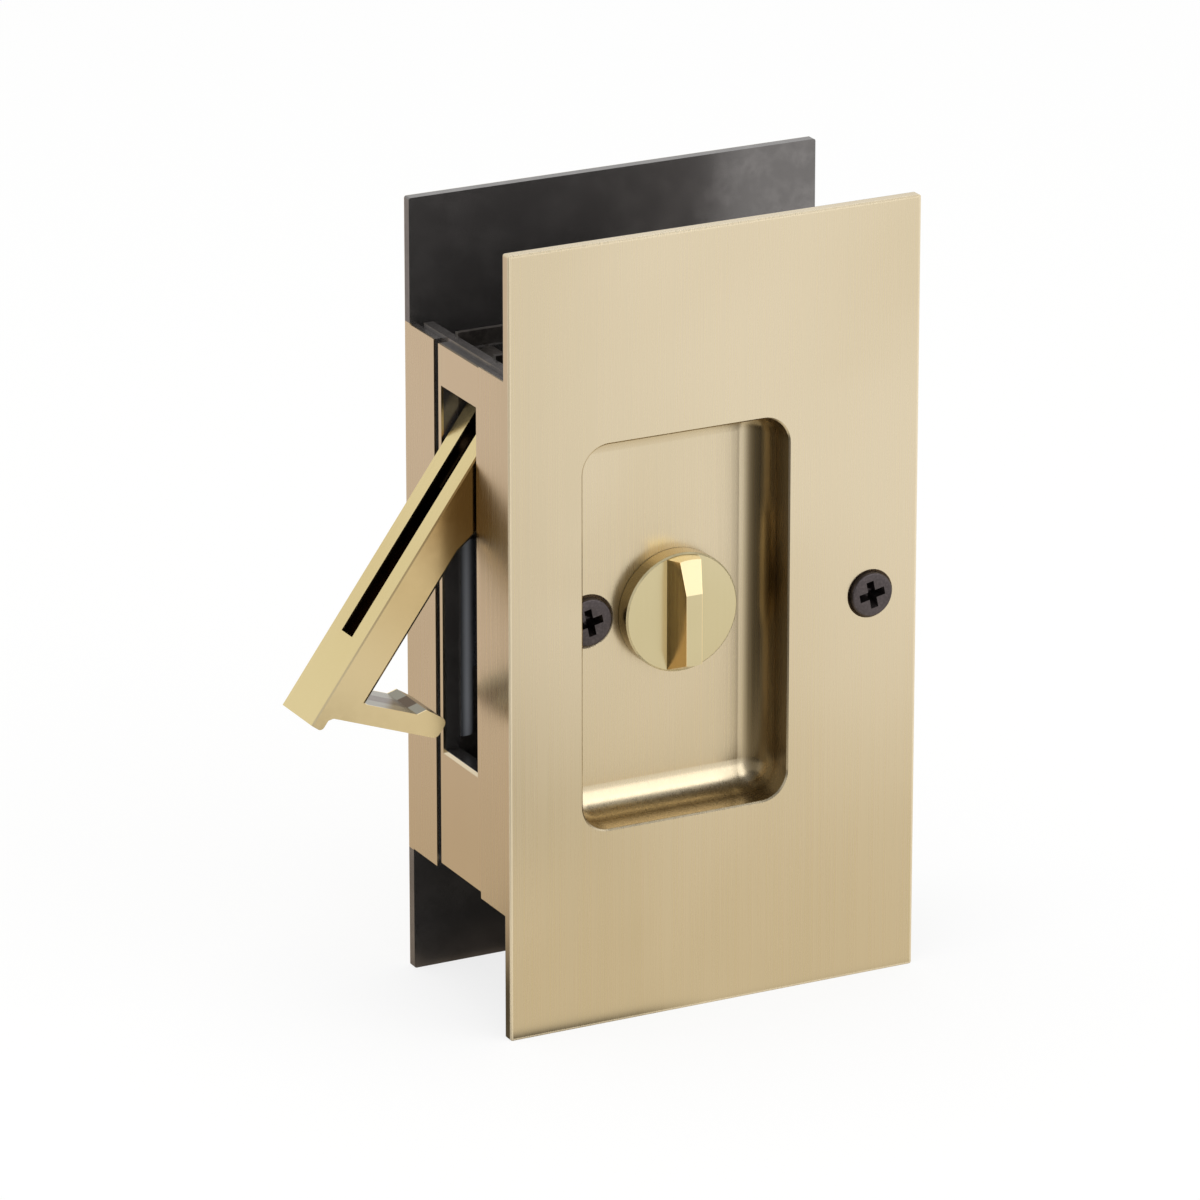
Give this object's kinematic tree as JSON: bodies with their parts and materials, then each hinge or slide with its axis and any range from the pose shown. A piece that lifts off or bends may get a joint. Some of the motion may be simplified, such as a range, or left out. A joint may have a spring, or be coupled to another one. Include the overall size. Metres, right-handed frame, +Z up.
{
  "type": "pocket door lock",
  "caption": "Privacy lock for a sliding pocket door: two flat plates with recessed cups, a thumbturn, a hinged edge pull and a hook bolt that swings out of the door edge.",
  "frame": {"origin": "on the door edge (outer faces of the flanges), at mid door thickness and mid height of the plates", "axes": "+X from the door edge into the door, -Y towards the thumbturn side, +Z up along the plates"},
  "size_m": [0.1072, 0.039, 0.138],
  "materials": {
    "satin_brass": "satin, finely brushed, lacquered",
    "pull_brass": "satin",
    "turn_brass": "polished",
    "dark_bronze": "dark bronze plate",
    "case_steel": "black satin",
    "liner_black": "gloss black",
    "bolt_steel": "zinc plated",
    "spring_steel": "spring steel",
    "nylon": "moulded nylon"
  },
  "bodies": {
    "lock_body": {"front_plate": "satin_brass", "rear_plate": "satin_brass", "edge_faceplate": "satin_brass", "lock_case": "case_steel", "case_cover": "case_steel", "case_screws": "bolt_steel", "pull_pivot_pin": "bolt_steel", "pull_spring": "spring_steel", "pocket_liner": "liner_black", "pull_catch": "nylon", "bolt_pivot_pin": "bolt_steel", "detent_spring": "spring_steel", "front_bush": "nylon", "rear_bush": "nylon", "edge_screw": "dark_bronze", "back_screw": "dark_bronze", "edge_post": "bolt_steel", "back_post": "bolt_steel"},
    "pull": {"edge_pull": "pull_brass"},
    "turn": {"thumbturn": "turn_brass", "thumbturn_clip": "spring_steel", "spindle": "bolt_steel", "spindle_cam": "bolt_steel", "crank_pin": "bolt_steel", "emergency_turn": "turn_brass", "emergency_clip": "spring_steel"},
    "link": {"drive_link": "bolt_steel"},
    "bolt": {"hook_bolt": "bolt_steel", "bolt_link_pin": "bolt_steel"}
  },
  "joints": [
    {"name": "pull_swing", "type": "hinge", "parent": "lock_body", "child": "pull", "pos_m": [0.0051, 0, 0.0286], "axis": [0, 1, 0], "range_deg": [-35.9, 0], "stiffness_Nm_per_rad": 0.02, "springref_deg": 34.38, "deforming": ["pull_spring"]},
    {"name": "thumb_turn", "type": "hinge", "parent": "lock_body", "child": "turn", "pos_m": [0.0354, 0, 0], "axis": [0, -1, 0], "range_deg": [0, 90], "deforming": ["detent_spring"]},
    {"name": "link_pivot", "type": "hinge", "parent": "turn", "child": "link", "pos_m": [0.04176, 0, 0.00636], "axis": [0, -1, 0], "range_deg": [-90, 0]},
    {"name": "bolt_swing", "type": "hinge", "parent": "lock_body", "child": "bolt", "pos_m": [0.012, 0, 0], "axis": [0, -1, 0], "range_deg": [0, 90]}
  ],
  "couplings": [
    {"joint": "link_pivot", "follows": "thumb_turn", "ratio": -1},
    {"joint": "bolt_swing", "follows": "thumb_turn", "ratio": 1}
  ]
}
